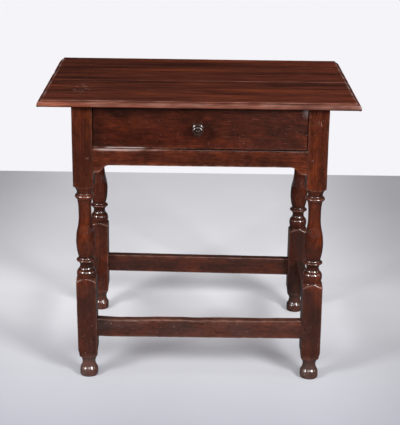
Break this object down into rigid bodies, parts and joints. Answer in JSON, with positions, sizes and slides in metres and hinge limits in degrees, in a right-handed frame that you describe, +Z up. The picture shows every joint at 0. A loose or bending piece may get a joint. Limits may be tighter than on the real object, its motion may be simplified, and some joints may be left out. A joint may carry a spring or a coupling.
{
  "type": "tavern table",
  "caption": "Joined oak side table with turned legs, box stretcher, moulded board top and a full-width drawer on runners.",
  "frame": {"origin": "on the floor under the middle of the top", "axes": "+X to the right of someone facing the drawer, +Y from the drawer front to the back, +Z up"},
  "size_m": [0.731, 0.502, 0.7],
  "materials": {
    "oak_top": "dark waxed oak, worn, satin",
    "oak_frame": "dark waxed oak, satin to glossy on the turnings",
    "oak_drawer_front": "dark waxed oak, satin",
    "oak_drawer_lining": "bare aged oak, matt",
    "oak_runners": "bare aged oak, matt",
    "oak_pegs": "dark oak end grain, waxed",
    "knob_wood": "near-black turned wood, polished",
    "iron_nails": "rusted wrought iron"
  },
  "bodies": {
    "frame": {"back_rail": "oak_frame", "back_rail_pegs": "oak_pegs", "drawer_guide_left": "oak_runners", "drawer_guide_nails": "iron_nails", "drawer_guide_right": "oak_runners", "drawer_runner_left": "oak_runners", "drawer_runner_nails": "iron_nails", "drawer_runner_right": "oak_runners", "front_rail": "oak_frame", "front_rail_pegs": "oak_pegs", "leg_back_left": "oak_frame", "leg_back_right": "oak_frame", "leg_front_left": "oak_frame", "leg_front_right": "oak_frame", "side_rail_left": "oak_frame", "side_rail_left_pegs": "oak_pegs", "side_rail_right": "oak_frame", "side_rail_right_pegs": "oak_pegs", "stretcher_back": "oak_frame", "stretcher_back_pegs": "oak_pegs", "stretcher_front": "oak_frame", "stretcher_front_pegs": "oak_pegs", "stretcher_left": "oak_frame", "stretcher_left_pegs": "oak_pegs", "stretcher_right": "oak_frame", "stretcher_right_pegs": "oak_pegs", "top_board_back": "oak_top", "top_board_front": "oak_top", "top_pegs": "oak_pegs"},
    "drawer": {"drawer_back": "oak_drawer_lining", "drawer_bottom_left": "oak_drawer_lining", "drawer_bottom_middle": "oak_drawer_lining", "drawer_bottom_nails": "iron_nails", "drawer_bottom_right": "oak_drawer_lining", "drawer_front": "oak_drawer_front", "drawer_knob": "knob_wood", "drawer_side_left": "oak_drawer_lining", "drawer_side_nails": "iron_nails", "drawer_side_right": "oak_drawer_lining"}
  },
  "joints": [
    {"name": "drawer_slide", "type": "slide", "parent": "frame", "child": "drawer", "axis": [0, -1, 0], "range_m": [0, 0.3]}
  ]
}
